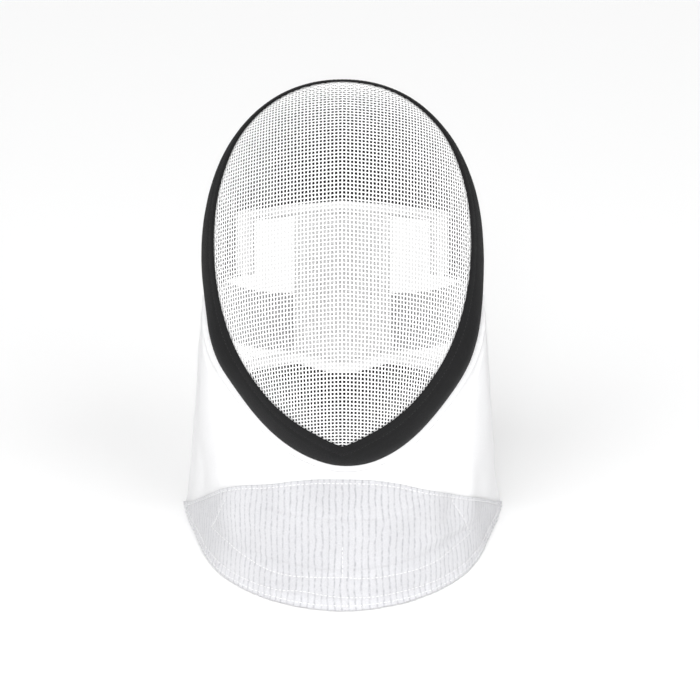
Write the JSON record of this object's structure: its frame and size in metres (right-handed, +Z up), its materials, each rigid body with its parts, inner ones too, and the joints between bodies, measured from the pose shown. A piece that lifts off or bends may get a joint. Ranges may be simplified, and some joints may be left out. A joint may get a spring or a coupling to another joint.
{
  "type": "fencing mask",
  "caption": "Fencing mask with a keeled woven-wire face, edge trim, padded bib with a conductive front panel, inner pads, back strap and rear tongue.",
  "frame": {"origin": "middle of the bounding box's underside, on the surface that the bib stands on", "axes": "+Z up, +Y towards the back of the head, +X to the right as seen from the front; the YZ plane is the plane of symmetry"},
  "size_m": [0.2668, 0.2794, 0.3588],
  "materials": {
    "wire_mesh": "satin white coating on woven steel wire",
    "trim": "matt black",
    "bib_cloth": "plain white woven cloth",
    "conductive_cloth": "pale silver-grey cloth with fine upright lines",
    "pad_lining": "dark brushed lining",
    "binding": "light tape",
    "strap": "mid-grey elastic webbing",
    "tongue_cloth": "light grey cloth over padding"
  },
  "bodies": {
    "root": {"mesh_shell": "wire_mesh", "trim_band": "trim", "bib": "bib_cloth", "conductive_panel": "conductive_cloth", "brow_pad": "pad_lining", "brow_binding": "binding", "chin_pad": "pad_lining", "chin_binding": "binding", "back_strap": "strap", "tongue": "tongue_cloth"}
  },
  "joints": []
}
